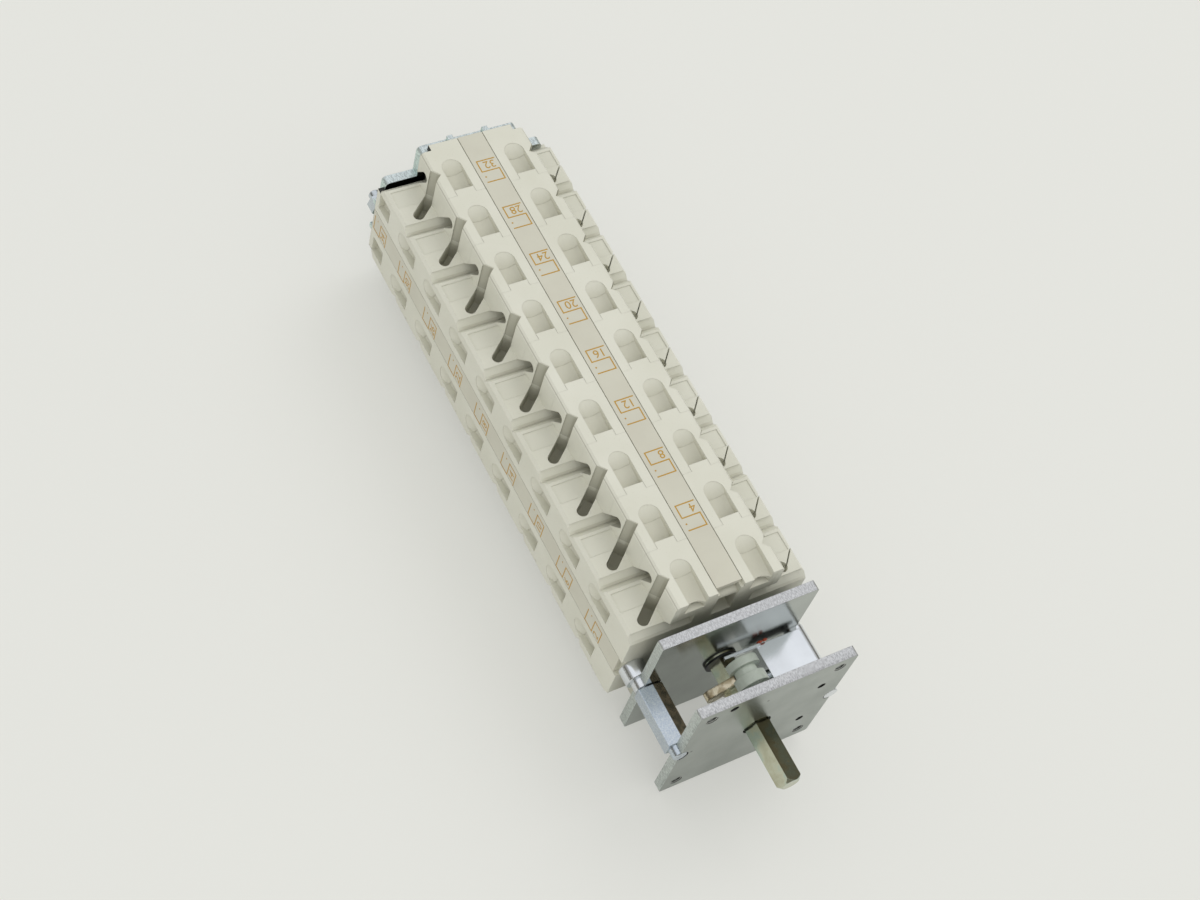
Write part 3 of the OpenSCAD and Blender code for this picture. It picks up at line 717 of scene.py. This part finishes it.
# %% Block with a sloping flank
BAR_LOW_X, BAR_HIGH_X = -36 * MM, -25.6 * MM
BAR_H, BAR_L = 7 * MM, 24 * MM
FLANK_TILT = math.radians(18.85)
bar_mesh = bmesh.new()
bar_size = (BAR_HIGH_X - BAR_LOW_X, BAR_L, BAR_H)
bar_middle = ((BAR_LOW_X + BAR_HIGH_X) / 2, PLATE_T + BAR_L / 2, 0)
block = Matrix.Translation(bar_middle) @ Matrix.Diagonal((*bar_size, 1.0))
bmesh.ops.create_cube(bar_mesh, size=1.0, matrix=block)
cut = bmesh.ops.bisect_plane(
    bar_mesh,
    geom=bar_mesh.verts[:] + bar_mesh.edges[:] + bar_mesh.faces[:],
    plane_co=(FLANK_X, 0, BAR_H / 2),
    plane_no=(math.sin(FLANK_TILT), 0, math.cos(FLANK_TILT)),
    clear_outer=True,
)
open_edges = [part for part in cut["geom_cut"] if isinstance(part, bmesh.types.BMEdge)]
bmesh.ops.holes_fill(bar_mesh, edges=open_edges)
print("the cut block has", len(bar_mesh.faces), "faces")

# %% Bevels and tenon
bmesh.ops.bevel(
    bar_mesh,
    geom=bar_mesh.edges[:],
    offset=0.25 * MM,
    affect="EDGES",
    segments=2,
    profile=0.5,
    material=-1,
)
TENON_R, TENON_CORE = 2.9 * MM, 0.1 * MM
TENON_Y, TENON_END = 0.1 * MM, PLATE_T + 0.3 * MM
tenon_section = [
    (TENON_CORE, TENON_Y),
    (TENON_R - BREAK, TENON_Y),
    (TENON_R, TENON_Y + BREAK),
    (TENON_R, TENON_END),
    (TENON_CORE, TENON_END),
]
turned(bar_mesh, -ROD_X, 0.0, tenon_section, 48)
square_bar = new_piece("square_bar", bar_mesh, bar_zinc)
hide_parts("side_bar")

# %% [markdown]
# ## The end plate
# Its rim is about 4 mm wide in the photograph, and the CAD plate is thinner. The merged
# copy keeps its far face and is drawn out towards the stages, whose last arms it enters.

# %% Thicker end plate
end_low, end_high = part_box("end_plate")
thicker = (end_high.y - END_NEAR_Y) / (end_high.y - end_low.y)
end_mesh = merged_copy("end_plate")
to_far_face = Matrix.Translation((0, -end_high.y, 0))
bmesh.ops.scale(end_mesh, verts=end_mesh.verts, vec=(1, thicker, 1), space=to_far_face)
end_rim = new_piece("end_plate_rim", end_mesh, end_zinc)
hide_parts("end_plate")
print("thicker by", round(thicker, 2))

# %% [markdown]
# ## Threads in the panel holes
# The four corner holes of the front plate are tapped. A thread is a spiral, but in a
# hole 4 mm deep a few ridges look the same. One zigzag profile is spun about each
# hole's axis: a closed outline gives a closed ring.

# %% Thread profile
PANEL_HOLE = 27 * MM
ROOT_R, CREST_R = 2.39 * MM, 1.95 * MM
THREAD_TURNS = 5
END_GAP = 0.15 * MM
thread_l = PLATE_T - 2 * END_GAP
thread_section = [(ROOT_R, END_GAP), (ROOT_R, PLATE_T - END_GAP)]
for i in range(THREAD_TURNS):
    crest_y = PLATE_T - END_GAP - (i + 0.5) * thread_l / THREAD_TURNS
    valley_y = crest_y - 0.5 * thread_l / THREAD_TURNS
    thread_section += [(CREST_R, crest_y), (ROOT_R - 0.08 * MM, valley_y)]
thread_section[-1] = (CREST_R, 2 * END_GAP)
print("thread profile with", len(thread_section), "corners")

# %% Thread rings
rings = bmesh.new()
for x in (-PANEL_HOLE, PANEL_HOLE):
    for z in (-PANEL_HOLE, PANEL_HOLE):
        turned(rings, x, z, thread_section, 28)
dark_thread = zinc_finish("dark_thread", (0.45, 0.46, 0.44), 0.18)
panel_threads = new_piece("panel_threads", rings, dark_thread)

# %% [markdown]
# ## Red sealing lacquer
# Two drops of red lacquer lock the housing's rear corner after the detent is set.
# Each starts as a sphere, is pressed flat against the sheet, and is shaded smooth.

# %% Lacquer
HOUSING_BACK, DROP_T = 26.5 * MM, 0.55 * MM
drops = bmesh.new()
for x, z, size in ((14.4 * MM, 6.4 * MM, 1.3 * MM), (16.6 * MM, 7.0 * MM, 1.0 * MM)):
    flattened = Matrix.Diagonal((size, DROP_T, size * 0.9, 1.0))
    place = Matrix.Translation((x, HOUSING_BACK, z)) @ flattened
    bmesh.ops.create_uvsphere(drops, u_segments=20, v_segments=12, radius=1.0, matrix=place)
lacquer = Finish("red_lacquer", (0.45, 0.06, 0.03), 0.25)
pooled = between(lacquer, noise(lacquer, 900.0, 3.0), 0.35, 0.7)
lacquer.fill(lacquer.shader, {
    "Base Color": tint(lacquer, pooled, (0.55, 0.10, 0.04), (0.28, 0.03, 0.02)),
    "Roughness": 0.2 + pooled * 0.2,
})
sealing_lacquer = new_piece("sealing_lacquer", drops, lacquer)
sealing_lacquer.data.shade_smooth()

# %% [markdown]
# ## Floor, light and camera
# The portrait was made on a plain pale sheet under a large soft light above and to
# the right, with a pale room all round. The floor lies just under the switch. Light
# shines through the sheet too, so the shadow on it is weak: the camera and mirrors see
# some of it as a plain glow.

# %% Floor
FLOOR_GAP, FLOOR_REACH = 0.02 * MM, 6.0
floor_place = Matrix.Translation((0, 0, cad_low.z - FLOOR_GAP))
floor_mesh = bmesh.new()
bmesh.ops.create_grid(
    floor_mesh,
    x_segments=1,
    y_segments=1,
    size=FLOOR_REACH,
    matrix=floor_place,
)
floor_data = bpy.data.meshes.new("floor")
floor_mesh.to_mesh(floor_data)
floor_mesh.free()
floor = bpy.data.objects.new("floor", floor_data)
bpy.context.scene.collection.objects.link(floor)
print("floor at", round(floor_place.translation.z / MM, 2), "mm")


# %% Sheet of the floor
def is_ray(tree, kind):
    """1 for rays of a kind, 0 for others."""
    return tree.node("ShaderNodeLightPath", {}, {}, out=f"Is {kind} Ray")


sheet = Finish("floor_sheet", (0.78, 0.78, 0.745), 0.7, specular=0.2)
glow_share = is_ray(sheet, "Camera") * 0.45 + is_ray(sheet, "Glossy") * 0.25
glow = sheet.node("ShaderNodeEmission", {}, {"Color": (0.79, 0.797, 0.75), "Strength": 1.0})
lit = Wire(sheet, sheet.shader.outputs[0])
softened = sheet.node("ShaderNodeMixShader", {}, {0: glow_share, 1: lit, 2: glow})
sheet.fill(sheet.tree.nodes["Material Output"], {"Surface": softened})
sheet.dress(floor)
print("the floor's sheet has", len(sheet.tree.nodes), "nodes")

# %% [markdown]
# Surfaces are lit by an even pale room. In a mirror the room has a bright ceiling and
# darker walls near the floor, and that contrast is what makes bare metal look like
# metal. So the world shows the walls to glossy rays alone.

# %% Room
world = bpy.data.worlds.new("room")
bpy.context.scene.world = world
world.use_nodes = True
room = Nodes(world.node_tree)
towards = room.node("ShaderNodeTexCoord", {}, {}, out="Generated")
height = room.node("ShaderNodeSeparateXYZ", {}, {0: towards}, out=2)
walls_up = tint(room, between(room, height, 0.42, 0.66), (0.20, 0.19, 0.16), (0.95, 0.96, 0.98))
room_colour = tint(room, is_ray(room, "Glossy"), (0.82, 0.82, 0.812), walls_up)
room.fill(world.node_tree.nodes["Background"], {"Color": room_colour, "Strength": 1.0})
print("room with", len(world.node_tree.nodes), "nodes")

# %% Lamps
SWITCH_MIDDLE = Vector((0.0, 0.125, 0.0))
LAMP_AWAY, LAMP_SIZE = 8.0, 5.2


def soft_lamp(name, direction, watts):
    """A round lamp that points at the switch. Mirrors don't show it."""
    lamp = bpy.data.lights.new(name, "AREA")
    lamp.shape = "DISK"
    lamp.size = LAMP_SIZE
    lamp.energy = watts
    holder = bpy.data.objects.new(name, lamp)
    holder.location = SWITCH_MIDDLE + Vector(direction).normalized() * LAMP_AWAY
    inwards = SWITCH_MIDDLE - holder.location
    holder.rotation_euler = inwards.to_track_quat("-Z", "Y").to_euler()
    holder.visible_glossy = False
    bpy.context.scene.collection.objects.link(holder)
    print(name, "lamp of", watts, "watts")


soft_lamp("key", (0.7, 0.35, 0.9), 112.0)
soft_lamp("fill", (-0.6, -0.9, 0.8), 56.0)

# %% [markdown]
# The camera was worked out from the photograph: nine equal stages, square plates and
# parallel edges give its place, its turn and its lens together.

# %% Camera
CAMERA_PLACE = Vector((-0.3013, -0.1750, 0.6310))
lens = bpy.data.cameras.new("portrait")
lens.sensor_width = 36.0
lens.lens = 58.78
camera = bpy.data.objects.new("portrait", lens)
bpy.context.scene.collection.objects.link(camera)
right = Vector((0.8691, -0.4528, 0.1991)).normalized()
back = Vector((-0.3955, -0.3943, 0.8296)).normalized()
up = back.cross(right)
turn = Matrix((right, up, back)).transposed().to_4x4()
camera.matrix_world = Matrix.Translation(CAMERA_PLACE) @ turn
lens.clip_start, lens.clip_end = 0.01, 20.0
bpy.context.scene.camera = camera
bpy.context.scene.view_settings.view_transform = "Standard"
print("camera with a lens of", lens.lens, "mm")
